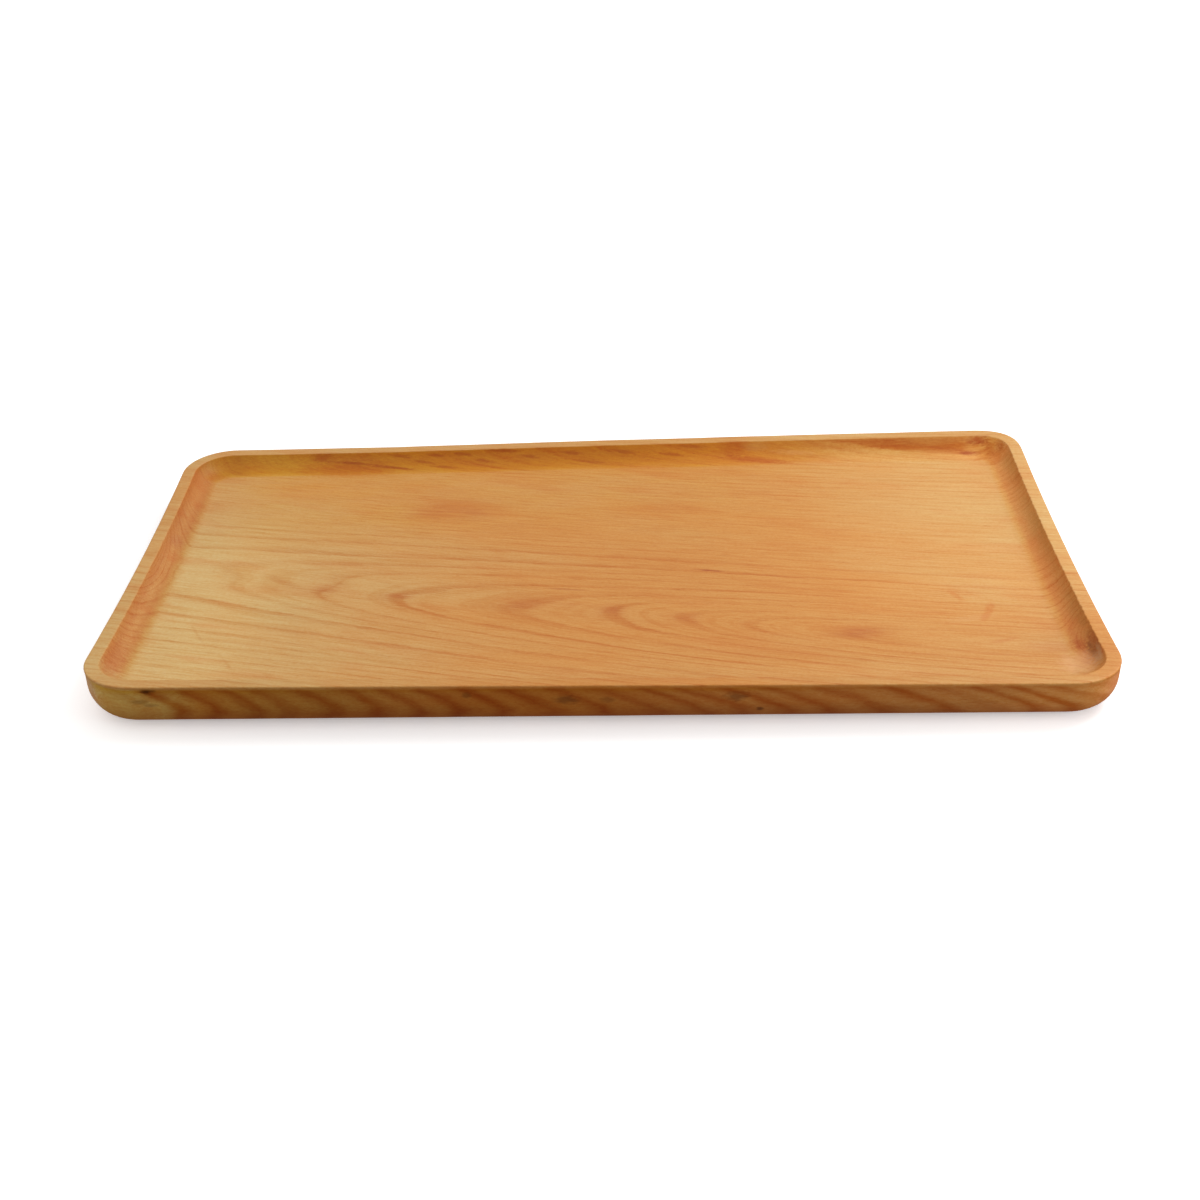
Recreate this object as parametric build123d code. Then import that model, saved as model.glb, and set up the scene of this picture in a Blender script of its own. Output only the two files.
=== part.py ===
from build123d import *
import math
import os

# One-piece wooden serving tray, carved from a single flat-sawn board.
# Frame: origin at the centre of the flat underside, +X along the length,
# +Y across the width, +Z up. All dimensions in millimetres.

# ---- overall ---------------------------------------------------------------
length = 400.0            # outside, along X
width = 222.0             # outside, along Y
height = 20.0             # flat underside to top of the rim
corner_radius = 23.0      # outside plan corners, at the rim

# ---- rim -------------------------------------------------------------------
rim_land = 5.8            # flat top of the rim, edge breaks included
outer_break = 0.6         # sanded round on the outer rim edge
inner_break = 0.5         # sanded round on the inner rim edge

# ---- outside of the wall ---------------------------------------------------
under_radius = 12.5       # full round from the wall down to the underside

# ---- serving well ----------------------------------------------------------
well_depth = 8.0          # rim top down to the serving floor
cove_radius = 12.0        # round-nosed cutter that leaves the cove

# ---- derived ---------------------------------------------------------------
floor_top = height - well_depth              # board left under the food
cove_run = math.sqrt(2 * cove_radius * well_depth - well_depth**2)
cove_spill = cove_radius - cove_run          # where the full quarter round
                                             # would stand outside the rim
well_length = length - 2 * rim_land          # well at the rim
well_width = width - 2 * rim_land
well_corner = corner_radius - rim_land


def rounded_plan(lx, ly, r, z):
    """Rounded rectangle centred on the origin at height z."""
    return Plane.XY.offset(z) * RectangleRounded(lx, ly, r)


def edges_at(solid, z):
    """Edges that lie wholly at height z."""
    return solid.edges().filter_by_position(Axis.Z, z - 0.01, z + 0.01)


# Blank: the board sawn to its rounded outline, then rounded underneath so
# that the wall runs into the flat underside in one continuous curve.
blank = extrude(rounded_plan(length, width, corner_radius, 0), amount=height)
blank = fillet(edges_at(blank, 0), under_radius)

# Well: flat floor with a cove all round. The cutter's quarter round starts
# at the floor and leaves the board at the rim, steep but not vertical.
cutter = extrude(
    rounded_plan(
        well_length + 2 * cove_spill,
        well_width + 2 * cove_spill,
        well_corner + cove_spill,
        floor_top,
    ),
    amount=cove_radius + 4,
)
cutter = fillet(edges_at(cutter, floor_top), cove_radius)
tray_body = blank - cutter

# Rim edges: the outer loop spans the full outline, the inner loop the well.
rim_edges = edges_at(tray_body, height)
outer_loop = [
    e
    for e in rim_edges
    if abs(e.center().X) > well_length / 2 + 0.5
    or abs(e.center().Y) > well_width / 2 + 0.5
    or (e.geom_type == GeomType.CIRCLE and abs(e.radius - corner_radius) < 0.01)
]
tray_body = fillet(outer_loop, outer_break)
inner_loop = [
    e
    for e in edges_at(tray_body, height)
    if abs(e.center().X) <= well_length / 2 + 0.01
    and abs(e.center().Y) <= well_width / 2 + 0.01
    and not (
        e.geom_type == GeomType.CIRCLE and e.radius > well_corner + rim_land / 2
    )
]
tray_body = fillet(inner_loop, inner_break)

solid = tray_body.solids()[0]
print("edge counts", len(outer_loop), len(inner_loop))
print("volume cm3", round(solid.volume / 1000, 1))
print("floor thickness", floor_top, "cove run", round(cove_run, 2))
print("flat floor", round(well_length - 2 * cove_run, 1),
      "x", round(well_width - 2 * cove_run, 1))
print("flat underside", length - 2 * under_radius, "x", width - 2 * under_radius)

os.makedirs("parts", exist_ok=True)
solid.label = "tray_body"
export_step(solid, "parts/tray_body.step")
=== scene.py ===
import math

import bpy
import numpy as np
from mathutils import Matrix, Vector


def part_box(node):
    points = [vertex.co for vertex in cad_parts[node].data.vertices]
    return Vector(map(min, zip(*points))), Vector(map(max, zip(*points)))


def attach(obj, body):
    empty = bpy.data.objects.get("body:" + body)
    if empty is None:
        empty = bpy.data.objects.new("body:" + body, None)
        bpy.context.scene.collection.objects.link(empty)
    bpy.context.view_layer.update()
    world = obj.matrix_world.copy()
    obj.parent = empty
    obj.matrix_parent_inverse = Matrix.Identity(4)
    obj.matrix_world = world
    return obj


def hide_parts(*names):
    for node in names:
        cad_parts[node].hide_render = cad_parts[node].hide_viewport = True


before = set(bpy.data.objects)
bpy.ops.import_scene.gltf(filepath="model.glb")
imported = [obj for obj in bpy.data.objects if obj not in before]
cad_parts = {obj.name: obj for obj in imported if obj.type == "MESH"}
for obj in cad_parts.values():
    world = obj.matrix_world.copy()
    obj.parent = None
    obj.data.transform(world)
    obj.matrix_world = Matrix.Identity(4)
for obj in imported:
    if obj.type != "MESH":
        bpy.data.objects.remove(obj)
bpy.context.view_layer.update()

scene = bpy.context.scene
MM = 0.001

# ---------------------------------------------------------------------------
# Shape of the tray, in millimetres, as in the CAD part
# ---------------------------------------------------------------------------
lo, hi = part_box("tray_body")
LENGTH = (hi.x - lo.x) / MM
WIDTH = (hi.y - lo.y) / MM
HEIGHT = (hi.z - lo.z) / MM
CORNER = 23.0
LAND = 5.8
OUTER_BREAK = 0.6
INNER_BREAK = 0.5
UNDER = 12.5
DEPTH = 8.0
COVE = 12.0
FLOOR_Z = HEIGHT - DEPTH
RUN = math.sqrt(2 * COVE * DEPTH - DEPTH**2)
CORE_X = LENGTH / 2 - CORNER          # the straight sides start here
CORE_Y = WIDTH / 2 - CORNER
FLOOR_R = CORNER - LAND - RUN         # floor's corner radius
NX, NY, NC = 180, 90, 14              # cells along, across and round a corner


def smooth(a, b, v):
    t = np.clip((v - a) / (b - a), 0, 1)
    return t * t * (3 - 2 * t)


def profile():
    """(distance out from the core rectangle, height, part) from the floor round to the underside.
    part: 0 floor, 1 cove, 2 inner edge, 3 land, 4 outer edge, 5 wall and under-round, 6 underside"""
    pts = [(r, FLOOR_Z, 0) for r in np.linspace(0, FLOOR_R, 4)]
    cz = FLOOR_Z + COVE
    fz = HEIGHT - INNER_BREAK
    far = COVE + INNER_BREAK
    end = math.acos((cz - fz) / far)
    fx = FLOOR_R + far * math.sin(end)
    for a in np.linspace(0, end, 17)[1:]:
        pts.append((FLOOR_R + COVE * math.sin(a), cz - COVE * math.cos(a), 1))
    for a in np.linspace(end, 0, 5)[1:]:
        pts.append((fx - INNER_BREAK * math.sin(a), fz + INNER_BREAK * math.cos(a), 2))
    for r in np.linspace(fx, CORNER - OUTER_BREAK, 4)[1:]:
        pts.append((r, HEIGHT, 3))
    for a in np.linspace(0, math.pi / 2, 5)[1:]:
        pts.append((CORNER - OUTER_BREAK + OUTER_BREAK * math.sin(a), HEIGHT - OUTER_BREAK + OUTER_BREAK * math.cos(a), 4))
    for z in np.linspace(HEIGHT - OUTER_BREAK, UNDER, 6)[1:]:
        pts.append((CORNER, z, 5))
    for a in np.linspace(0, math.pi / 2, 15)[1:]:
        pts.append((CORNER - UNDER + UNDER * math.cos(a), UNDER - UNDER * math.sin(a), 5))
    for r in np.linspace(CORNER - UNDER, 0, 6)[1:]:
        pts.append((r, 0.0, 6))
    return pts


# the bake's map, in its own square: texels per mm, and where each part of the surface lies
DENSE = 0.98 / 430
MAP_TOP = (0.01 + LENGTH / 2 * DENSE, 0.01 + WIDTH / 2 * DENSE)
MAP_STRIPS = 0.01 + WIDTH * DENSE + 0.012
MAP_UNDER_SQUEEZE = 0.56


def build_tray():
    """One closed mesh: a grid over the floor, the swept profile and a grid under it."""
    gx = np.linspace(-CORE_X, CORE_X, NX + 1)
    gy = np.linspace(-CORE_Y, CORE_Y, NY + 1)
    verts, part, faces, maps = [], [], [], []
    strip_h = (UNDER * math.pi / 2 + HEIGHT - UNDER) * DENSE + 0.01
    under_mid = MAP_STRIPS + 3 * strip_h + 0.5 * (WIDTH * MAP_UNDER_SQUEEZE * DENSE)

    def grid(z, tag):
        base = len(verts)
        for y in gy:
            for x in gx:
                verts.append((x, y, z))
                part.append(tag)
        return lambda i, j: base + j * (NX + 1) + i

    def on_top(v):
        return (MAP_TOP[0] + verts[v][0] * DENSE, MAP_TOP[1] + verts[v][1] * DENSE)

    def on_under(v):
        return (MAP_TOP[0] + verts[v][0] * DENSE, under_mid + verts[v][1] * DENSE * MAP_UNDER_SQUEEZE)

    top = grid(FLOOR_Z, 0)
    low = grid(0.0, 6)
    for j in range(NY):
        for i in range(NX):
            f = (top(i, j), top(i + 1, j), top(i + 1, j + 1), top(i, j + 1))
            faces.append(f)
            maps.append([on_top(v) for v in f])
            f = (low(i, j), low(i, j + 1), low(i + 1, j + 1), low(i + 1, j))
            faces.append(f)
            maps.append([on_under(v) for v in f])

    # stations round the core rectangle, anticlockwise seen from above:
    # grid index of the core point, and the direction out of it
    st = []

    def corner(i, j, start):
        for k in range(1, NC):
            a = start + math.pi / 2 * k / NC
            st.append(((i, j), (math.cos(a), math.sin(a))))

    for i in range(NX + 1):
        st.append(((i, 0), (0.0, -1.0)))
    corner(NX, 0, -math.pi / 2)
    for j in range(NY + 1):
        st.append(((NX, j), (1.0, 0.0)))
    corner(NX, NY, 0)
    for i in range(NX, -1, -1):
        st.append(((i, NY), (0.0, 1.0)))
    corner(0, NY, math.pi / 2)
    for j in range(NY, -1, -1):
        st.append(((0, j), (-1.0, 0.0)))
    corner(0, 0, math.pi)
    n = len(st)
    rim = [(gx[i] + CORNER * dx, gy[j] + CORNER * dy) for (i, j), (dx, dy) in st]
    step = [math.dist(rim[k], rim[(k + 1) % n]) for k in range(n)]
    # the wall's strips start half way round each corner: front, right, back, left
    h = NC // 2
    starts = [n - NC + h, NX + h, NX + NC + NY + h, 2 * NX + 2 * NC + NY + h]
    place = {}
    for s, (a, b) in enumerate(zip(starts, starts[1:] + starts[:1])):
        k, t = a % n, 0.0
        row, left = ((0, 0.0), (1, 0.0), (2, 0.0), (1, 216.0))[s]
        while k != b % n:
            place[k] = (row, left + t)
            t += step[k]
            k = (k + 1) % n
    prof = profile()
    rows = [[top(*c) for c, _ in st]]
    for r, z, tag in prof[1:-1]:
        row = []
        for (i, j), (dx, dy) in st:
            row.append(len(verts))
            verts.append((gx[i] + r * dx, gy[j] + r * dy, z))
            part.append(tag)
        rows.append(row)
    rows.append([low(*c) for c, _ in st])
    down = 0.0
    for q, (a, b) in enumerate(zip(rows, rows[1:])):
        tag = prof[q + 1][2]
        gap = math.dist(prof[q][:2], prof[q + 1][:2])
        for k in range(n):
            m = (k + 1) % n
            ids = [a[k], b[k], b[m], a[m]]
            if tag <= 4:
                uv = [on_top(v) for v in ids]
            elif tag == 5:
                row, t = place[k]
                v0 = MAP_STRIPS + row * strip_h + down * DENSE
                v1 = v0 + gap * DENSE
                u0, u1 = 0.01 + t * DENSE, 0.01 + (t + step[k]) * DENSE
                uv = [(u0, v0), (u0, v1), (u1, v1), (u1, v0)]
            else:
                uv = [on_under(v) for v in ids]
            f, g = [], []
            for v, w in zip(ids, uv):
                if v not in f:
                    f.append(v)
                    g.append(w)
            if len(f) > 2:
                faces.append(tuple(f))
                maps.append(g)
        if tag == 5:
            down += gap
    return np.array(verts, float), np.array(part), faces, maps


verts, part, faces, maps = build_tray()

# ---------------------------------------------------------------------------
# Growth rings of the board. The pith runs lengthways, tilted: above the left
# end and out through the tray near its right-front corner. Rings are flat
# ellipses round it, rounder far out at the front.
# ---------------------------------------------------------------------------
PITH_Y = (-40.69, -41.01, 7.17, 0.64)
PITH_Z = (20.56, -6.55, 1.39, 2.57)
BENDS = ((0, 1, 1.86), (0, 2, 0.07), (0, 3, -2.23), (0, 4, 2.15), (1, 0, -0.96), (1, 1, 0.33), (1, 2, 1.33), (1, 3, -0.93),
         (1, 4, -1.27), (2, 0, -0.39), (2, 1, 2.92), (2, 2, -1.61), (2, 3, 0.96), (3, 0, -0.63), (3, 1, -1.05), (3, 2, 0.45))
# where each year's growth starts, mm from the pith, and how plainly it shows: towards the front and towards the back
YEARS_FRONT = ((2, .5), (5, .5), (8, .5), (11, .55), (14, .6), (17, .7), (19.7, .9), (22.2, .9), (25.5, 1), (30, 1), (35, 1.2), (39, .9),
               (41.8, .8), (44.7, 1.1), (52, 1), (58.8, .5), (62.7, .85), (66.1, .8), (70.4, .5), (74.7, .9), (78.8, .6), (83, .6),
               (87.7, .6), (91.6, .7), (95.3, .7), (99.4, .7), (102.9, .6), (105.3, .6), (108, .7), (110.7, .6), (114.5, .6),
               (118.5, .6), (122.5, .6), (126.5, .6), (130.5, .6), (135, .6), (140, .6))
YEARS_BACK = ((2, .5), (5, .5), (8, .5), (11, .5), (14, .5), (17, .6), (20, .8), (22.7, .7), (26, .6), (29, .9), (33.7, 1.1), (38.6, .9),
              (42.6, .9), (47.3, 1.1), (55.5, 1), (62.5, .6), (66.3, .3), (70.5, .6), (74, .4), (77.5, .35), (81, .2), (84, .35),
              (87, .35), (92.5, .5), (96.5, .2), (100.5, .5), (103.5, .2), (106.8, .4), (110.5, .4), (113.5, .3), (117.5, .45),
              (120.5, .35), (125, .8), (128.5, .6), (132, .6), (136.5, .7), (141.5, .7), (146.5, .5), (151.5, .8), (155.5, .6),
              (160, .9), (164.5, .6), (169, .7), (174, .6), (179, .6), (184, .6))


def rings(p):
    """Year number (0 at the pith, whole numbers where a year starts), how plainly it shows, and the place across the grain."""
    x = p[:, 0] / 200
    yc = sum(c * x**k for k, c in enumerate(PITH_Y))
    zc = sum(c * x**k for k, c in enumerate(PITH_Z))
    a = p[:, 1] - yc
    b = p[:, 2] - zc
    flat = np.where(a < 0, 1.5 + 1.51 * np.exp(-(a / 80) ** 2), 3.01)
    r = np.sqrt(a * a + (flat * b) ** 2 + 0.5)
    ah = np.clip(a / 80, -1.15, 1.7)
    r = r + sum(c * x**i * ah**j for i, j, c in BENDS)
    # the tips of the arches lie a little further right than the flat-ellipse rule puts them
    r = r + np.interp(p[:, 0], (-150, -116, -84, -31, 7.5, 37.5, 60), (1.2, 1.6, 0.5, 0.85, 1.0, 0.4, 0)) * np.exp(-(a / 9) ** 2)
    side = smooth(-6, 6, a)
    out = []
    for years in (YEARS_FRONT, YEARS_BACK):
        at = [v[0] for v in years]
        n = np.interp(r, at, np.arange(len(at)))
        n = n + np.where(r > at[-1], (r - at[-1]) / 4.5, 0)
        show = np.interp(n - 0.15, np.arange(len(at)), [v[1] for v in years])
        out.append((n, show))
    (nf, sf), (nb, sb) = out
    return nf * (1 - side) + nb * side, sf * (1 - side) + sb * side, a, b


# ---------------------------------------------------------------------------
# The mesh, with the slight unevenness of a board shaped and sanded by hand
# ---------------------------------------------------------------------------
def by_hand(p, tag):
    q = p.copy()
    xh, yh = 2 * p[:, 0] / LENGTH, 2 * p[:, 1] / WIDTH
    w = p[:, 2] / HEIGHT
    # the back right corner was cut squarer than the others
    dx, dy = p[:, 0] - CORE_X, p[:, 1] - CORE_Y
    r = np.maximum(np.hypot(dx, dy), 1e-6)
    square = np.where((dx > 0) & (dy > 0), np.maximum(np.abs(dx / r) ** 3 + np.abs(dy / r) ** 3, 1e-6) ** (-1 / 3) - 1, 0) * smooth(0, 8, p[:, 2])
    q[:, 0] += square * dx
    q[:, 1] += square * dy
    q[:, 1] += smooth(0, WIDTH / 2, p[:, 1]) * w * np.interp(p[:, 0], (-200, -100, 0, 120, 200), (-0.5, -1.4, 0.4, 1.2, 1.2))
    # a shade narrower at the left end, the ends a touch hollow, the board a little cupped and twisted
    q[:, 1] *= 1 + 0.015 * (xh - 1)
    q[:, 0] *= 1 - 0.006 * (1 - yh * yh)
    q[:, 2] += w * (2.0 * (yh * yh - 1) + 1.12 * xh * yh - 0.6)
    waves = ((0.13, 0.05, 0.4, 1.0), (-0.07, 0.16, 2.1, 0.8), (0.05, -0.23, 4.0, 0.7), (0.21, 0.11, 1.3, 0.5), (0.02, 0.31, 5.2, 0.45))
    u = sum(s * np.sin(kx * p[:, 0] + ky * p[:, 1] + f) for kx, ky, f, s in waves)
    q[:, 2] += np.where(tag <= 1, 0.035, 0.02) * u * smooth(3, 9, p[:, 2])
    side = sum(s * np.sin(1.3 * kx * p[:, 0] + 1.3 * ky * p[:, 1] + 0.9 * p[:, 2] * ky + 2 * f) for kx, ky, f, s in waves)
    wall = (tag == 5) * (0.06 * side - 0.17)
    # the cutter has chattered along the inner edge of the right end, and a little on the left
    tooth = np.sin(2 * math.pi * p[:, 1] / 4.15 + 1.6 * np.sin(p[:, 1] / 8.3)) + 0.5 * np.sin(p[:, 1] / 1.7 + 2)
    inner = (tag <= 2) * smooth(15.5, 19.3, p[:, 2]) * smooth(95, 82, np.abs(p[:, 1]))
    q[:, 0] += tooth * inner * np.where(p[:, 0] > 0, 0.16 * smooth(170, 185, p[:, 0]), 0.06 * smooth(-170, -185, p[:, 0]))
    n = np.maximum(np.hypot(np.maximum(np.abs(p[:, 0]) - CORE_X, 0), np.maximum(np.abs(p[:, 1]) - CORE_Y, 0)), 1e-6)
    q[:, 0] += wall * np.sign(p[:, 0]) * np.maximum(np.abs(p[:, 0]) - CORE_X, 0) / n * smooth(0, 6, p[:, 2])
    q[:, 1] += wall * np.sign(p[:, 1]) * np.maximum(np.abs(p[:, 1]) - CORE_Y, 0) / n * smooth(0, 6, p[:, 2])
    return q


# On the front wall the years show as broad leaning bands: where each one crosses 13 mm up, and how strongly;
# and how far each leans along the wall with height, near the left end and right of the middle
WALL = ((-190, .4), (-176, .3), (-162.5, 1.35), (-148.5, 1), (-132, 1), (-121.5, .8), (-103.5, 1), (-86.5, 1.15), (-72.5, 1), (-58, 1.05), (-42, 1.05),
        (-24.5, 1), (-5.5, 1), (13, .7), (30, 1), (43.5, .9), (61, 1), (77, 1), (96, .9), (122, 1.2), (140, .3), (154, 1.1), (168.5, 1.2),
        (185, .7), (200, .4), (215, .3))
LEAN_Z = (5, 7, 9, 11, 13, 15, 17, 19)
LEAN_LEFT = (1.5, 3.2, 3.6, 2.3, 0, -2.8, -6.3, -10)
LEAN_RIGHT = (11, 10, 8, 4.5, 0, -4.5, -10.5, -16)


def wall_bands(p):
    over = np.maximum(np.abs(p[:, 0]) - CORE_X, 0)
    u = np.clip(np.abs(p[:, 0]), 0, CORE_X) + CORNER * np.arctan2(over, np.maximum(-p[:, 1] - CORE_Y, 1e-3))
    u = u * np.sign(p[:, 0])
    t = np.clip((u + 90) / 130, 0, 1)
    u = u - (1 - t) * np.interp(p[:, 2], LEAN_Z, LEAN_LEFT) - t * np.interp(p[:, 2], LEAN_Z, LEAN_RIGHT)
    year = np.interp(u, [v[0] for v in WALL], np.arange(len(WALL)))
    return year, np.interp(year, np.arange(len(WALL)), [v[1] for v in WALL])


shaped = by_hand(verts, part)
mesh = bpy.data.meshes.new("carved_tray")
mesh.from_pydata([tuple(v) for v in shaped * MM], [], faces)
uv = mesh.uv_layers.new(name="OFBake")
uv.data.foreach_set("uv", np.array([c for f in maps for c in f], np.float32).ravel())
mesh.update()
for p in mesh.polygons:
    p.use_smooth = True
nor = np.zeros(len(verts) * 3, np.float32)
mesh.vertices.foreach_get("normal", nor)
nor = nor.reshape(-1, 3).astype(float)

X, Y, Z = verts.T
year, show, across, above = rings(verts)
steep = np.hypot(nor[:, 0], nor[:, 1])
outside = (part == 5).astype(float)
under = ((part == 6) | ((part == 5) & (Z < 2))).astype(float)
# deeper, more saturated colour on steep faces, less on the outer walls towards the right: partly oil soaked in, partly
# painted shade
oil_and_painted_shade = smooth(0.04, 0.42, steep) * (1 - (0.15 + 0.35 * smooth(-20, 60, X)) * outside)
oil_and_painted_shade = oil_and_painted_shade * (1 - 0.65 * (part == 1) * smooth(-84, -92, Y))
oil_and_painted_shade = np.where(part == 6, 0.45, oil_and_painted_shade)
oil_and_painted_shade = np.where((part == 2) | (part == 3) | (part == 4), np.minimum(oil_and_painted_shade, 0.25), oil_and_painted_shade)
endgrain = smooth(0.36, 0.70, nor[:, 0] ** 2 / (steep**2 + 1e-6)) * smooth(0.1, 0.5, steep)
front = smooth(-97, -103, Y) * outside
back_cove = smooth(88, 96, Y) * (part == 1) * smooth(0.1, 0.4, steep)

# paler towards the left end and a little at the right, deeper orange in the middle
def spots(items):
    s = np.zeros(len(verts))
    for x, y, z, sx, sy, sz, k in items:
        s = np.maximum(s, k * np.exp(-0.5 * (((X - x) / sx) ** 2 + ((Y - y) / sy) ** 2 + ((Z - z) / sz) ** 2)))
    return s


# the land is ruddier at the right front and right back than between, and paler at the back of the left end
land = ((part == 2) | (part == 3) | (part == 4)).astype(float)
pale = (np.clip(-X / 175, 0, 1.15) ** 1.25 * (0.88 - 0.25 * Y / 100 - 0.30 * smooth(25, 75, Y))
        + smooth(60, 170, X) * (0.38 + 0.20 * Y / 100))
pale = pale + land * (0.30 * smooth(60, 105, Y) * smooth(170, 60, X) - 0.30 * smooth(-120, -190, X)) + 0.12 * smooth(60, 90, Y) + 0.25 * land * smooth(-100, -108, Y) * smooth(-20, 150, X) - 0.15 * land * smooth(-120, -170, X)
pale = pale + land * (smooth(185, 194, X) * (0.22 * np.exp(-(Y / 30) ** 2) - 0.30 * smooth(-35, -65, Y)) - 0.30 * smooth(110, 150, X) * smooth(100, 105, Y)
                      + smooth(-185, -194, X) * 0.22 * smooth(30, 60, Y) - 0.16 * smooth(-110, -150, X) * smooth(-100, -105, Y))
# on the outer wall the paleness fades a little in from the left end, and the left end itself is paler: painted pale
# light along its edge
pale = pale * (1 - outside * smooth(-170, -150, X) * smooth(-60, -120, X)) + 0.5 * outside * smooth(-168, -182, X)
# brightness of the wood: its own tone, with painted light and shade. Painted light makes the floor brighter towards the
# right and the back, at the front of the left end and at the front right, and the outer wall brighter at its right end;
# painted shade darkens the outer walls between the ends, and the land is darker at the front of the left end
tone_and_painted_light = (0.59 + 0.085 * smooth(20, 180, X) * smooth(-90, -10, Y) + 0.055 * smooth(-120, -165, X) * smooth(60, 0, Y)
          - (0.06 + 0.05 * smooth(60, -20, X)) * outside * smooth(-172, -155, X) * smooth(178, 150, X) - 0.03 * land * smooth(-120, -160, X) * smooth(70, 20, Y)
          + 0.04 * outside * smooth(140, 170, X) + 0.02 * smooth(-80, -90, Y) * smooth(30, 90, X) * (part == 0))
pale = pale + spots(((-178, 0, 12, 9, 38, 6, 0.22), (-88, -24, 12, 14, 7, 6, 0.28), (-132, -38, 12, 12, 9, 6, 0.24), (-80, -72, 12, 22, 8, 6, 0.32),
                     (160, -26, 12, 10, 9, 6, 0.22), (177, 8, 12, 8, 12, 6, 0.2), (25, -92, 12, 55, 6, 6, 0.2), (120, -92, 12, 45, 6, 6, 0.25)))
pale = pale - spots(((-132, 84, 12, 22, 8, 6, 0.26), (130, 89, 12, 14, 5, 6, 0.22), (30, -57, 12, 45, 6, 6, 0.16), (150, -58, 12, 22, 7, 6, 0.26)))
tone_and_painted_light = tone_and_painted_light - land * (0.04 * smooth(110, 150, X) * smooth(100, 105, Y) + 0.035 * smooth(-110, -150, X) * smooth(20, -60, Y) + 0.02 * smooth(60, 0, X) * smooth(-100, -105, Y))
# painted shade: the foot of the outer wall darker, as a contact shadow
tone_and_painted_light = tone_and_painted_light * (1 - 0.5 * outside * smooth(3.4, 0.4, Z))
end_cove = (part == 1) * smooth(0.03, 0.3, steep) * np.where(X < 0, smooth(-165, -178, X), smooth(165, 178, X))
# painted shade darkens the left end cove and painted light brightens the right one; the back cove gets painted shade at
# the left and painted light at the right
tone_and_painted_light = tone_and_painted_light - 0.05 * end_cove * (X < 0) + (0.03 + 0.04 * smooth(0, 70, Y)) * end_cove * (X > 0)
tone_and_painted_light = tone_and_painted_light - 0.05 * back_cove * smooth(70, -20, X) + 0.04 * back_cove * smooth(90, 120, X)
pale = pale - 0.16 * end_cove * (X < 0) + 0.10 * end_cove * (X > 0)
oil_and_painted_shade = oil_and_painted_shade * (1 - 0.45 * back_cove * smooth(90, 120, X))
amber = np.maximum(smooth(88, 92, Y) * (part == 1) * smooth(0.03, 0.20, steep) * smooth(100, 50, X)
                   * (1 - 0.5 * smooth(-110, -165, X) * smooth(0.5, 0.7, steep)),
                   0.9 * outside * smooth(16.0, 18.6, Z) * smooth(-100, -108, Y) * smooth(140, 40, X))
amber = np.maximum(amber, front * smooth(18.0, 19.3, Z))
amber = np.maximum(amber, (part == 0) * (0.26 * smooth(0, 60, Y) * smooth(150, 30, X) * smooth(-184, -150, X)
                                         + spots(((-125, 82, 12, 35, 11, 6, 0.22), (-85, 52, 12, 26, 12, 6, 0.22), (-20, 70, 12, 40, 20, 6, 0.08)))))

# rings fade out in the left back quarter and show strongest on the front wall
show = show * (1 - 0.75 * smooth(-20, -110, X) * smooth(35, 60, Y) * (1 - outside))
show = show * (1 - 0.38 * (part == 0) * smooth(55, 105, X) * smooth(-62, -40, Y) * smooth(35, 12, Y))
wall_year, wall_show = wall_bands(verts)
wall_show = wall_show * front
show = show * (1 - 0.85 * front) * (1 - 0.5 * outside * smooth(150, 180, np.abs(X)) * smooth(-50, -80, Y)) * (1 + 0.8 * outside * smooth(-50, 0, Y)) * (1 + 1.1 * back_cove * smooth(60, -20, X))


blush = spots(((104, -60, 12, 6.5, 2.6, 4, 0.9), (-72, 58, 12, 15, 9, 5, 0.40), (-76, 51, 12, 17, 3.2, 5, 0.45), (-60, 52, 12, 6, 5, 5, 0.5), (-86, -25, 12, 5, 2.2, 4, 0.5),
               (-33, -34, 12, 5, 2.4, 4, 0.5), (5, -39, 12, 4, 2.6, 4, 0.6), (35, -46, 12, 4, 2.2, 4, 0.5), (-118, -18, 12, 5, 2.5, 4, 0.45),
               (-118, 100, 16, 14, 5, 4, 0.7), (-60, 101, 17, 30, 4, 3, 0.45), (60, -101, 20, 60, 4, 3, 0.3)))
# greyish olive film where the right cove drank least oil, and in its two corners
olive = (part <= 1) * smooth(178, 192, X) * smooth(12.6, 17.5, Z) * (0.75 + 0.25 * np.sin(Y / 11)) * smooth(-95, -60, Y)
olive = 0.8 * olive * smooth(96, 84, Y)
low = np.interp(X, (100, 108, 120, 130, 140, 150, 160, 172, 185), (19.9, 19.3, 18.2, 16.3, 15.1, 14.2, 13.9, 13.4, 13.8))
streak = smooth(98, 112, X) * smooth(190, 172, X) * smooth(92, 97, Y) * smooth(-0.35, 0.35, Z - low) * (part <= 1)
streak = streak * (1 - 0.6 * smooth(172, 180, X)) * (1 - 0.35 * smooth(18.2, 19.4, Z) * smooth(140, 165, X))
wear = np.where((part == 2) | (part == 4), 1.0, 0.0)


def store(name, values):
    at = mesh.attributes.new(name, "FLOAT", "POINT")
    at.data.foreach_set("value", np.asarray(values, np.float32))


def store3(name, values):
    at = mesh.attributes.new(name, "FLOAT_VECTOR", "POINT")
    at.data.foreach_set("vector", np.asarray(values, np.float32).ravel())


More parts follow.
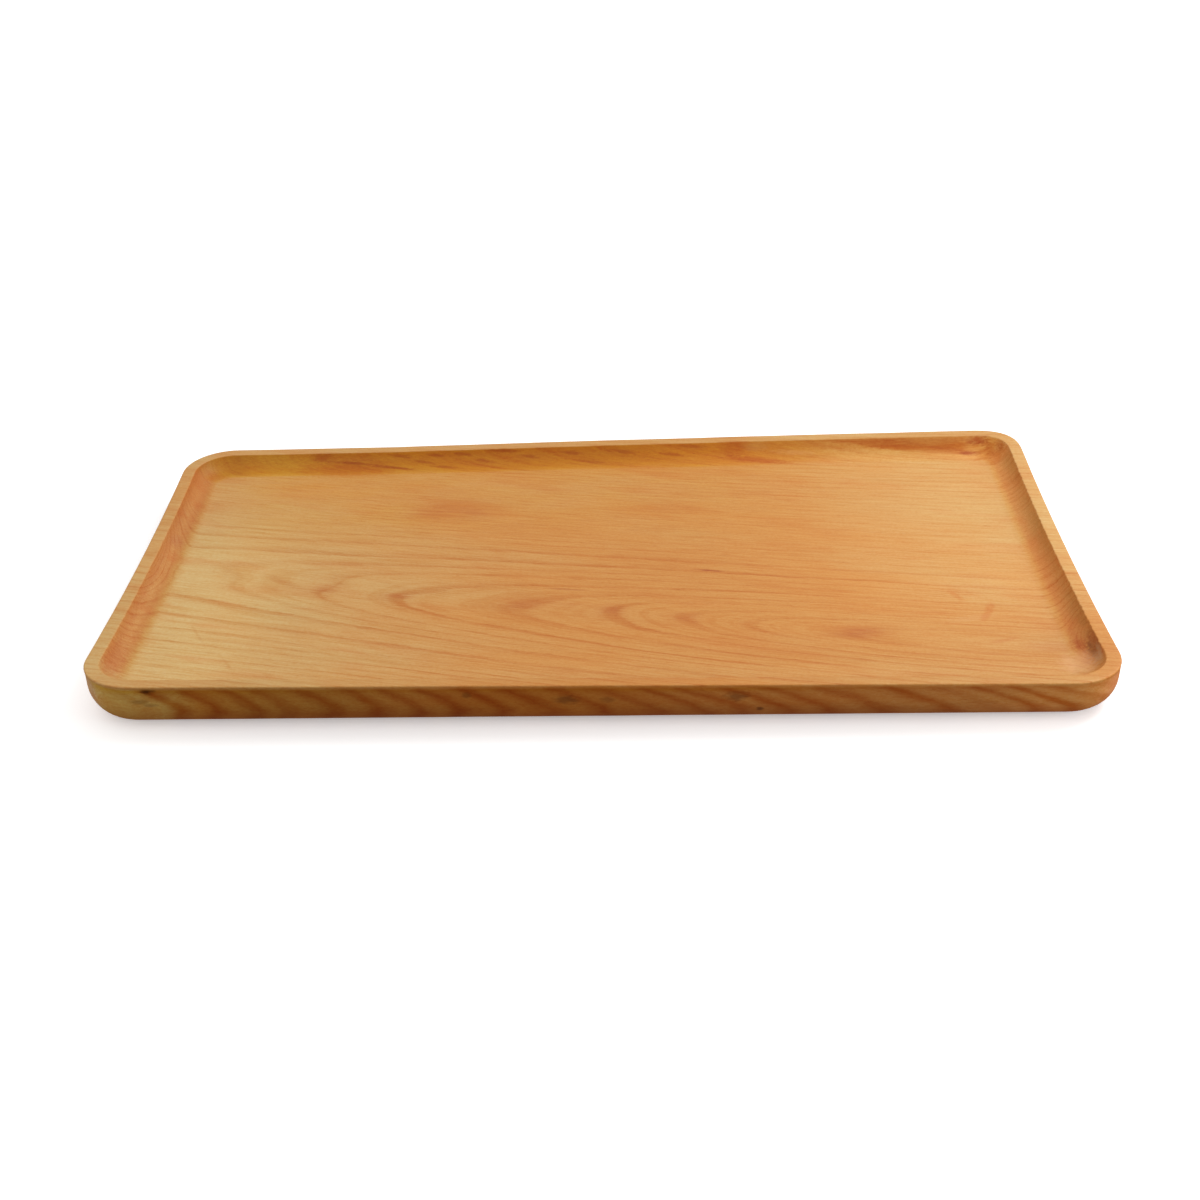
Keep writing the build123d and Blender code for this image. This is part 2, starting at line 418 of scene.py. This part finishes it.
store("ring", year)
store("show", show)
store("oil_and_painted_shade", oil_and_painted_shade)
store("endgrain", endgrain)
store("pale", pale)
store("blush", blush)
store("streak", streak)
store("wear", wear)
store("olive", olive)
store("front", front)
store("wall_year", wall_year)
store("wall_show", wall_show)
store("outside", outside)
store("cove", (part == 1).astype(float))
store("lee", front * smooth(-70, -110, X))
store("lip", front * smooth(17.6, 19.0, Z))
store("gold", back_cove * smooth(70, 10, X))
store("tone_and_painted_light", tone_and_painted_light)
store("amber", amber)
store3("grain", np.stack([X, across, above], -1))
store3("place", verts)

tray = bpy.data.objects.new("carved_tray", mesh)
scene.collection.objects.link(tray)

# ---------------------------------------------------------------------------
# Oiled ash, with some light and shade painted into its colour
# ---------------------------------------------------------------------------
mat = bpy.data.materials.new("oiled_ash")
mat.use_nodes = True
nt = mat.node_tree
nt.nodes.clear()
out = nt.nodes.new("ShaderNodeOutputMaterial")
bsdf = nt.nodes.new("ShaderNodeBsdfPrincipled")
nt.links.new(bsdf.outputs[0], out.inputs[0])


def link(a, b):
    nt.links.new(a, b)


def put(sock, v):
    if isinstance(v, (int, float, tuple)):
        sock.default_value = v
    else:
        link(v, sock)


def math_(op, a, b=None, c=None, clamp=False):
    n = nt.nodes.new("ShaderNodeMath")
    n.operation = op
    n.use_clamp = clamp
    for i, v in enumerate((a, b, c)):
        if v is not None:
            put(n.inputs[i], v)
    return n.outputs[0]


def mul(*v):
    r = v[0]
    for w in v[1:]:
        r = math_("MULTIPLY", r, w)
    return r


def add(a, b):
    return math_("ADD", a, b)


def attr(name, out="Fac"):
    n = nt.nodes.new("ShaderNodeAttribute")
    n.attribute_name = name
    return n.outputs[out]


def noise(vec, scale, detail=2.0, rough=0.5, loc=(0, 0, 0)):
    m = nt.nodes.new("ShaderNodeMapping")
    m.inputs["Scale"].default_value = scale
    m.inputs["Location"].default_value = loc
    link(vec, m.inputs["Vector"])
    n = nt.nodes.new("ShaderNodeTexNoise")
    n.inputs["Scale"].default_value = 1.0
    n.inputs["Detail"].default_value = detail
    n.inputs["Roughness"].default_value = rough
    link(m.outputs[0], n.inputs["Vector"])
    return n.outputs["Fac"]


def about(v, k, mid=0.5):
    """(v - mid) * k"""
    return math_("MULTIPLY_ADD", v, k, -mid * k)


def ramp(fac, stops, interp="LINEAR"):
    n = nt.nodes.new("ShaderNodeValToRGB")
    n.color_ramp.interpolation = interp
    el = n.color_ramp.elements
    while len(el) > 1:
        el.remove(el[-1])

    def col(c):
        return (c, c, c, 1) if isinstance(c, (int, float)) else c

    el[0].position, el[0].color = stops[0][0], col(stops[0][1])
    for p, c in stops[1:]:
        el.new(p).color = col(c)
    link(fac, n.inputs[0])
    return n.outputs[0]


def between(v, a, b, lo=0.0, hi=1.0):
    n = nt.nodes.new("ShaderNodeMapRange")
    n.interpolation_type = "SMOOTHSTEP"
    for i, w in enumerate((v, a, b, lo, hi)):
        put(n.inputs[i], w)
    return n.outputs[0]


def mix(fac, a, b, kind="MIX"):
    n = nt.nodes.new("ShaderNodeMix")
    n.data_type = "RGBA"
    n.blend_type = kind
    put(n.inputs[0], fac)
    put(n.inputs[6], a)
    put(n.inputs[7], b)
    return n.outputs[2]


def tint(fac, a, c):
    return mix(fac, a, c + (1.0,), "MULTIPLY")


g = attr("grain", "Vector")
place = attr("place", "Vector")
endg = attr("endgrain")

# years, wavering a little, with ragged early wood
slow = noise(g, (0.014, 0.09, 0.14), 2, 0.55, (1.7, 4.2, 0.3))
ragged = noise(g, (0.07, 1.15, 1.6), 3, 0.62, (5.1, 0.7, 2.4))
n_ = add(add(attr("ring"), about(slow, 0.42)), about(ragged, 0.30))
f = math_("FRACT", n_)
wn = nt.nodes.new("ShaderNodeTexWhiteNoise")
wn.noise_dimensions = "1D"
link(math_("FLOOR", n_), wn.inputs["W"])
own = wn.outputs["Value"]
early = ramp(f, [(0.0, 0.30), (0.045, 1.0), (0.14, 0.76), (0.28, 0.26), (0.55, 0.06), (0.93, 0.0), (1.0, 0.30)])
late = ramp(f, [(0.0, 0.0), (0.45, 0.0), (0.80, 0.8), (0.96, 1.0), (1.0, 0.2)])
come_go = between(noise(g, (0.022, 0.16, 0.25), 2, 0.5, (8.8, 1.2, 6.5)), 0.30, 0.66, 0.45, 1.2)
line = mul(early, attr("show"), come_go, math_("MULTIPLY_ADD", own, 0.5, 0.72))

# open pores: short dashes along the grain, crowded in the early wood
dash = noise(g, (0.17, 3.6, 3.6), 2, 0.5, (9.3, 2.2, 4.6))
pore = mul(between(dash, 0.56, 0.70), math_("MULTIPLY_ADD", early, 0.75, 0.10))
fibre = noise(g, (0.045, 1.7, 1.7), 4, 0.6, (3.4, 7.7, 1.9))
fine = noise(g, (0.12, 7.0, 7.0), 2, 0.5, (2.4, 5.7, 8.9))
cloud = noise(g, (0.010, 0.030, 0.06), 3, 0.5, (4.4, 9.1, 2.2))
cloud2 = noise(g, (0.022, 0.075, 0.1), 2, 0.5, (0.4, 3.1, 7.2))

# ground colour
t = math_("ADD", attr("pale"), about(cloud, 0.9), clamp=True)
col = mix(t, (1.04, 0.504, 0.1345, 1), (1.04, 0.756, 0.332, 1))
col = mix(between(cloud2, 0.50, 0.72, 0.0, 0.30), col, (0.96, 0.355, 0.075, 1))
col = mix(mul(attr("blush"), between(noise(g, (0.05, 0.4, 0.4), 3, 0.6), 0.3, 0.6, 0.45, 1.0)), col, (0.84, 0.275, 0.067, 1))
# side walls and coves deeper and more saturated: partly oil soaked into them, partly painted warm shade; cut ends are
# redder still
oil_and_painted_shade_ = attr("oil_and_painted_shade")
col = tint(mul(oil_and_painted_shade_, math_("SUBTRACT", 1.0, endg)), col, (0.97, 0.76, 0.28))
col = tint(mul(oil_and_painted_shade_, endg), col, (0.94, 0.67, 0.48))
col = tint(mul(attr("amber"), between(noise(place, (0.03, 0.12, 0.35), 3, 0.55, (3, 8, 5)), 0.34, 0.62, 0.55, 1.0)), col, (1.0, 0.94, 0.36))
light_and_tone = attr("tone_and_painted_light")
grey = nt.nodes.new("ShaderNodeCombineColor")
for i in range(3):
    link(light_and_tone, grey.inputs[i])
col = mix(1.0, col, grey.outputs[0], "MULTIPLY")
# fibres, late and early wood
mottle = noise(place, (0.70, 1.0, 1.0), 3, 0.70, (4.0, 2.0, 9.0))
col = tint(about(fibre, 1.9, 0.38), col, (0.86, 0.64, 0.36))
col = tint(about(mottle, 2.2, 0.40), col, (0.92, 0.76, 0.50))
col = tint(mul(late, 0.10), col, (0.95, 0.82, 0.66))
col = tint(mul(line, 0.42), col, (0.78, 0.40, 0.08))
col = tint(mul(pore, 0.55), col, (0.70, 0.48, 0.32))
col = tint(between(fine, 0.50, 0.72, 0.0, 0.16), col, (0.80, 0.62, 0.45))
flecks = noise(g, (0.13, 0.72, 0.72), 3, 0.62, (5.3, 1.9, 3.1))
col = tint(mul(between(flecks, 0.50, 0.66), math_("SUBTRACT", 1.0, oil_and_painted_shade_), 0.34), col, (0.93, 0.77, 0.58))
# broad soft bands on the front wall, reddish where the years meet, tan between
wn_ = add(attr("wall_year"), about(noise(place, (0.05, 0.1, 0.16), 3, 0.6, (6, 1, 3)), 0.55))
band = ramp(math_("FRACT", wn_), [(0.0, 1.0), (0.13, 0.76), (0.30, 0.24), (0.5, 0.0), (0.70, 0.24), (0.87, 0.76), (1.0, 1.0)])
bandy = mul(band, attr("wall_show"), between(noise(place, (0.03, 0.1, 0.12), 2, 0.5, (6, 1, 3)), 0.3, 0.65, 0.7, 1.0))
# painted light: the front wall paler and bluer, standing in for pale light from the floor
col = tint(attr("front"), col, (1.035, 1.125, 1.58))
col = tint(attr("lee"), col, (0.95, 1.09, 1.10))
col = tint(attr("lip"), col, (0.94, 0.79, 0.52))
col = tint(bandy, col, (0.745, 0.465, 0.23))
# thin streaks that follow the years, where the cut crosses them
along = nt.nodes.new("ShaderNodeCombineXYZ")
link(add(mul(attr("ring"), math_("SUBTRACT", 1.0, attr("front"))), mul(wn_, attr("front"))), along.inputs[0])
sep = nt.nodes.new("ShaderNodeSeparateXYZ")
link(place, sep.inputs[0])
link(mul(sep.outputs[0], 0.02), along.inputs[1])
thread = noise(along.outputs[0], (3.3, 1, 1), 3, 0.6, (2, 8, 0))
col = tint(mul(between(thread, 0.42, 0.66), oil_and_painted_shade_, 0.34), col, (0.84, 0.64, 0.48))
fine_lines = noise(along.outputs[0], (4.6, 0.8, 1), 3, 0.6, (7, 3, 0))
col = tint(mul(between(fine_lines, 0.47, 0.66), math_("SUBTRACT", 1.0, oil_and_painted_shade_), 0.44), col, (0.90, 0.72, 0.46))
col = tint(attr("gold"), col, (1.03, 1.10, 0.74))
col = tint(mul(attr("olive"), between(noise(place, (0.25, 0.16, 0.3), 3, 0.6, (1, 5, 2)), 0.28, 0.62, 0.45, 1.0)), col, (0.80, 0.90, 0.84))
streaky = between(noise(place, (0.030, 0.35, 0.60), 3, 0.6, (7, 3, 1)), 0.30, 0.62, 0.55, 1.0)
col = tint(mul(attr("streak"), streaky, 0.95), col, (0.77, 0.44, 0.13))


def mark(at, angle, size, strength, colour, kind="MULTIPLY", only=None):
    """A stroke or spot: wood colour, and in some places painted light and shade; a soft ellipsoid turned about z, its
    edge frayed. Two numbers mean on the floor.
    """
    global col
    m = nt.nodes.new("ShaderNodeMapping")
    m.vector_type = "TEXTURE"
    m.inputs["Location"].default_value = at if len(at) == 3 else at + (FLOOR_Z,)
    m.inputs["Rotation"].default_value = (0, 0, math.radians(angle))
    m.inputs["Scale"].default_value = size if len(size) == 3 else size + (2.5,)
    link(place, m.inputs["Vector"])
    e = nt.nodes.new("ShaderNodeTexGradient")
    e.gradient_type = "SPHERICAL"
    link(m.outputs[0], e.inputs["Vector"])
    shape = mul(between(add(e.outputs["Fac"], about(fray, 1.1)), 0.02, 0.80), between(e.outputs["Fac"], 0.0, 0.25))
    if only is not None:
        shape = mul(shape, only)
    col = mix(mul(shape, strength), col, colour + (1,), kind)


fray = noise(place, (0.30, 0.75, 0.75), 3, 0.65, (2, 2, 2))
mark((148.4, -30.7), 118, (7.5, 2.4), 0.55, (0.93, 0.66, 0.42))
mark((160.5, -41), 70, (7.5, 2.7), 0.58, (0.92, 0.65, 0.42))
mark((157.3, -47.8), 60, (7, 2.6), 0.60, (0.92, 0.64, 0.42))
mark((151, -49.5), 12, (15, 3.4), 0.10, (0.80, 0.53, 0.26), "MIX")
mark((161, -67), 20, (10, 2.2), 0.45, (0.90, 0.66, 0.54))
mark((47, -6.2), -10, (9, 1.3), 0.95, (0.74, 0.50, 0.46))
mark((72, -11.5), -9, (24, 1.1), 0.45, (0.84, 0.62, 0.50))
mark((-15, -21), -8, (14, 1.3), 0.60, (0.76, 0.55, 0.50))
mark((-164.5, -56), -62, (15, 1.0), 0.30, (0.84, 0.62, 0.42))
mark((-148, -79), -58, (11, 1.0), 0.26, (0.84, 0.62, 0.42))
mark((-136, -12), -38, (17, 3.4), 0.55, (0.86, 0.64, 0.44))
# pin knots in the front wall, and the larger one at its left end
out_ = attr("outside")
mark((-168, -111, 17.4), 0, (9, 5, 6), 0.80, (0.78, 0.50, 0.34), only=out_)
mark((-170.4, -111, 19.0), 0, (4.2, 5, 3.4), 1.0, (0.10, 0.07, 0.06), only=out_)
mark((-174, -111, 13.5), 0, (5, 5, 1.6), 0.55, (0.45, 0.38, 0.38), only=out_)
mark((-170, -111, 12.0), 0, (4, 5, 1.2), 0.60, (0.50, 0.42, 0.42), only=out_)
mark((-12.4, -111, 13.4), 0, (7, 5, 3.2), 0.85, (0.50, 0.46, 0.54), only=out_)
mark((3, -111, 13.4), 0, (4.0, 5, 2.4), 0.55, (0.55, 0.50, 0.50), only=out_)
mark((51.5, -111, 14.6), 0, (7, 5, 3.2), 0.85, (0.52, 0.48, 0.54), only=out_)
mark((60.4, -110, 8.0), 0, (2.0, 5, 1.7), 0.85, (0.34, 0.30, 0.30), only=out_)
mark((-50, -111, 15.6), 0, (2.4, 5, 2.0), 0.70, (0.55, 0.50, 0.46), only=out_)
# the knot at the front of the right cove: brown body, pale flecks, red foot, pinkish wood round it
cove_ = attr("cove")
mark((186, -86, 13.4), 0, (11, 12, 6), 0.26, (0.93, 0.56, 0.30), "MIX")
mark((180, -72.5), 0, (18, 7), 0.60, (0.93, 0.78, 0.76))
mark((192.5, -84, 17), 0, (7, 14, 6), 0.85, (0.84, 0.86, 0.96), only=cove_)
mark((193.8, -76.5, 18.4), 0, (6, 12, 6), 0.90, (0.74, 0.62, 0.58), only=cove_)
mark((191.4, -80.5, 16.3), 8, (2.6, 10, 2.6), 0.85, (0.70, 0.65, 0.52), only=cove_)
mark((193.9, -83.0, 18.0), -10, (1.8, 9, 2.0), 0.42, (0.50, 0.31, 0.15), "MIX", only=cove_)
mark((192.4, -87.5, 16.6), 10, (2.2, 7, 2.6), 0.32, (0.56, 0.34, 0.17), "MIX", only=cove_)
mark((189.2, -74, 14), 10, (5, 7, 3.4), 0.75, (0.82, 0.57, 0.40))
mark((188.4, -69, 13.2), 0, (3.2, 10, 2.8), 0.60, (0.84, 0.62, 0.46))
# the back right corner: rusty patches and an olive speck where the streak ends
mark((188, 99, 15), 30, (15, 13, 8), 0.85, (0.90, 0.66, 0.32))
mark((181, 103.8, 18), -4, (9, 2.4, 3.2), 1.0, (0.68, 0.38, 0.22))
mark((176.5, 99.8, 13.6), -8, (7, 2.0, 2.2), 0.95, (0.68, 0.40, 0.24))
mark((186.5, 102, 15.8), -12, (7, 2.6, 3.2), 0.9, (0.72, 0.44, 0.24))
mark((191.5, 98.4, 16), 0, (4.6, 4.6, 4.6), 0.9, (0.70, 0.46, 0.22))
mark((187.5, 100.2, 13.4), 20, (6.5, 5.5, 3.4), 1.0, (0.76, 0.44, 0.18))
mark((189.8, 103.4, 18), 0, (4.0, 3.4, 4), 0.60, (0.50, 0.38, 0.13), "MIX", only=cove_)
# the back cove: blotches and the tails of the years
mark((-135, 104.2, 18), 0, (9, 3.4, 3.6), 0.85, (0.78, 0.52, 0.34))
mark((-127, 98.2, 12.9), -3, (32, 7, 5), 0.85, (0.93, 0.75, 0.42))
mark((64, 103.4, 17.5), 0, (12, 6, 6.5), 0.70, (0.84, 0.60, 0.40))
mark((74, 104, 18), 0, (9, 3.2, 4), 0.20, (0.62, 0.38, 0.11), "MIX", only=cove_)
mark((73, 99.0, 13.2), -7, (24, 2.8, 2.8), 0.85, (0.86, 0.60, 0.32))
mark((94, 101.7, 15.6), -4, (16, 1.8, 2.6), 0.14, (0.95, 0.58, 0.24), "MIX", only=cove_)
for x, y, z, turn, long, k in ((-118, 101.8, 15.4, -6, 24, 1.0), (-101, 99.8, 13.6, -8, 24, 1.0), (-96, 104.0, 18, -9, 16, .7), (-85, 101.6, 15.2, -13, 15, .8),
                               (-80, 104, 18, -9, 13, .7), (-76, 99.4, 13.2, -10, 15, .8), (-66, 104, 18, -11, 14, .8), (-56, 101.6, 15.2, -13, 13, .7),
                               (-46, 104.6, 19, -5, 16, .9), (-33, 102.4, 16.2, -12, 18, .8), (-14, 103.6, 17.4, -10, 16, .7), (-4, 100, 13.8, -10, 16, .5),
                               (14, 103, 17, -11, 17, .7), (36, 102, 15.6, -10, 16, .7), (44, 104.4, 18.6, -6, 14, .6)):
    mark((x, y, z), turn, (long, 1.2, 1.5), k, (0.76, 0.52, 0.22))
mark((2, 101, 16.6), 0, (44, 7, 8), 0.90, (0.94, 0.90, 0.66))
mark((124, 104.4, 18.6), 0, (40, 4.4, 5), 0.90, (0.94, 0.82, 0.62))
# the foot of the left cove redder-brown, partly the wood's colour and partly painted shade in the crease, and the paler
# wood at its back
mark((-187, -18, 12.9), 0, (6, 130, 3.2), 0.78, (0.90, 0.76, 0.60))
mark((-191.6, 74, 15.4), 0, (7, 44, 5), 0.80, (1.06, 1.20, 1.32))
mark((-72, 55), 0, (20, 16), 0.85, (0.985, 0.88, 0.74))
mark((-95, 54), 0, (15, 14), 0.80, (1.02, 1.10, 1.12))
# the right-hand front corner is paler and pinker: a painted highlight
mark((198, -101, 11.5), 0, (16, 22, 17), 0.95, (1.22, 1.28, 1.90), only=out_)
mark((150, 103.6, 16.6), -1, (58, 3.0, 4.2), 0.70, (0.90, 0.74, 0.44), only=cove_)
# the left-hand one greyer and paler, a painted highlight too, and the left cove redder along its top
mark((-198, -101, 10.5), 0, (14, 21, 15), 0.95, (1.14, 1.40, 2.10), only=out_)
mark((-193.6, -14, 17.8), 0, (5, 150, 4.4), 0.80, (0.93, 0.81, 0.82), only=cove_)
mark((-191.4, -84, 15.8), 0, (7, 26, 5.5), 0.80, (0.87, 0.64, 0.56), only=cove_)
mark((-190.6, 24, 15.0), 0, (4.5, 8, 4), 0.75, (0.88, 0.73, 0.78), only=cove_)
mark((-190.5, 87, 16.4), 0, (7, 12, 6), 0.70, (0.93, 0.82, 0.68), only=cove_)
# painted light low on the front wall: paler, bluer places, standing in for light from the floor
mark((-168, -108, 9.5), 0, (44, 14, 9), 0.85, (1.12, 1.20, 1.30))
mark((-20, -108, 6.5), 0, (36, 14, 5.5), 0.80, (1.16, 1.26, 1.34))
mark((160, -107, 6.5), 0, (48, 16, 6), 0.85, (1.20, 1.20, 1.30))
# worn edges a touch paler
col = mix(mul(attr("wear"), between(noise(place, (0.11, 0.11, 0.5), 2, 0.5), 0.42, 0.62), 0.10), col, (0.66, 0.40, 0.17, 1))
link(col, bsdf.inputs["Base Color"])

rough = math_("MULTIPLY_ADD", cloud2, 0.12, 0.40)
rough = add(rough, mul(line, 0.08))
rough = add(rough, mul(pore, 0.16))
rough = add(rough, mul(endg, 0.06))
link(rough, bsdf.inputs["Roughness"])
bsdf.inputs["Specular IOR Level"].default_value = 0.30
bsdf.inputs["IOR"].default_value = 1.45

relief = add(mul(line, -0.45), mul(pore, -0.8))
relief = add(relief, mul(fibre, 0.35))
relief = add(relief, mul(fine, 0.16))
relief = add(relief, mul(noise(place, (0.35, 0.35, 0.5), 2, 0.5), 0.5))
bump = nt.nodes.new("ShaderNodeBump")
bump.inputs["Strength"].default_value = 0.35
bump.inputs["Distance"].default_value = 0.00012
link(relief, bump.inputs["Height"])
link(bump.outputs[0], bsdf.inputs["Normal"])
mesh.materials.append(mat)

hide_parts("tray_body")
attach(tray, "root")

# ---------------------------------------------------------------------------
# Floor, light and camera
# ---------------------------------------------------------------------------
fm = bpy.data.meshes.new("floor")
DOWN = -0.0001
fm.from_pydata([(-4, -4, DOWN), (4, -4, DOWN), (4, 4, DOWN), (-4, 4, DOWN)], [], [(0, 1, 2, 3)])
floor = bpy.data.objects.new("floor", fm)
scene.collection.objects.link(floor)
fmat = bpy.data.materials.new("pale_floor")
fmat.use_nodes = True
fb = fmat.node_tree.nodes["Principled BSDF"]
fb.inputs["Base Color"].default_value = (0.93, 0.93, 0.93, 1)
fb.inputs["Roughness"].default_value = 0.9
fb.inputs["Specular IOR Level"].default_value = 0.1
fb.inputs["Emission Color"].default_value = (1, 1, 1, 1)
fb.inputs["Emission Strength"].default_value = 0.35
# clear from below, so the underside can be looked at
ft = fmat.node_tree
side = ft.nodes.new("ShaderNodeNewGeometry")
clear = ft.nodes.new("ShaderNodeBsdfTransparent")
both = ft.nodes.new("ShaderNodeMixShader")
ft.links.new(side.outputs["Backfacing"], both.inputs[0])
ft.links.new(fb.outputs[0], both.inputs[1])
ft.links.new(clear.outputs[0], both.inputs[2])
ft.links.new(both.outputs[0], ft.nodes["Material Output"].inputs[0])
fm.materials.append(fmat)
floor.visible_diffuse = False
floor.visible_glossy = False

world = bpy.data.worlds.new("studio")
world.use_nodes = True
wt = world.node_tree
bg = wt.nodes["Background"]
co = wt.nodes.new("ShaderNodeTexCoord")
sx = wt.nodes.new("ShaderNodeSeparateXYZ")
mr = wt.nodes.new("ShaderNodeMapRange")
mr.inputs[1].default_value, mr.inputs[2].default_value = -1, 1
wr = wt.nodes.new("ShaderNodeValToRGB")
el = wr.color_ramp.elements
el[0].position, el[0].color = 0.0, (0.42, 0.21, 0.10, 1)
el[1].position, el[1].color = 1.0, (1, 1, 1, 1)
for p, c in ((0.48, (0.12, 0.054, 0.020, 1)), (0.52, (0.10, 0.06, 0.04, 1)), (0.66, (0.62, 0.60, 0.58, 1)), (0.8, (0.95, 0.95, 0.95, 1))):
    el.new(p).color = c
wt.links.new(co.outputs["Generated"], sx.inputs[0])
wt.links.new(sx.outputs["Z"], mr.inputs[0])
wt.links.new(mr.outputs[0], wr.inputs[0])
# the studio's walls are plain and pale to look at
seen = wt.nodes.new("ShaderNodeLightPath")
plain = wt.nodes.new("ShaderNodeMix")
plain.data_type = "RGBA"
plain.inputs[7].default_value = (1.15, 1.15, 1.15, 1)
wt.links.new(seen.outputs["Is Camera Ray"], plain.inputs[0])
wt.links.new(wr.outputs[0], plain.inputs[6])
wt.links.new(plain.outputs[2], bg.inputs[0])
bg.inputs[1].default_value = 0.85
scene.world = world


def area(name, at, to, size, power, color=(1, 1, 1)):
    d = bpy.data.lights.new(name, "AREA")
    d.shape = "RECTANGLE"
    d.size, d.size_y = size
    d.energy = power
    d.color = color
    o = bpy.data.objects.new(name, d)
    o.location = at
    o.rotation_euler = (Vector(to) - Vector(at)).to_track_quat("-Z", "Y").to_euler()
    scene.collection.objects.link(o)
    return o


area("key", (0.85, 0.55, 1.0), (0.05, 0, 0), (0.8, 0.8), 10)
area("side", (0.44, -0.30, 0.15), (0.13, -0.07, 0), (0.16, 0.16), 0.52)
area("left_fill", (-0.44, -0.13, 0.07), (-0.19, -0.09, 0.01), (0.12, 0.10), 0.16)
area("right_fill", (0.52, -0.10, 0.05), (0.19, -0.09, 0.01), (0.12, 0.08), 0.12)

# Camera: solved for the tray's outline. Angles in radians, place in lengths of the tray.
YAW, PITCH, ROLL = -0.01868171, 0.5246112, -0.02402876
TX, TY, TZ, FOCAL = 0.002026545, -0.01511067, 1.839295, 1688.352
cy, sy = math.cos(YAW), math.sin(YAW)
cp, sp = math.cos(PITCH), math.sin(PITCH)
cr, sr = math.cos(ROLL), math.sin(ROLL)
Rz = np.array([[cy, -sy, 0], [sy, cy, 0], [0, 0, 1]])
B = np.array([[1, 0, 0], [0, 0, -1], [0, 1, 0]])
Rx = np.array([[1, 0, 0], [0, cp, -sp], [0, sp, cp]])
Rr = np.array([[cr, -sr, 0], [sr, cr, 0], [0, 0, 1]])
R = Rr @ Rx @ B @ Rz
C = -R.T @ np.array([TX, TY, TZ]) * LENGTH * MM
cam_data = bpy.data.cameras.new("camera")
cam = bpy.data.objects.new("camera", cam_data)
scene.collection.objects.link(cam)
M = np.eye(4)
M[:3, 0], M[:3, 1], M[:3, 2], M[:3, 3] = R[0], -R[1], -R[2], C
cam.matrix_world = Matrix(M.tolist())
cam_data.sensor_width = 36.0
cam_data.lens = FOCAL / 1200 * 36.0
cam_data.clip_start, cam_data.clip_end = 0.01, 20
scene.camera = cam
scene.view_settings.view_transform = "Standard"
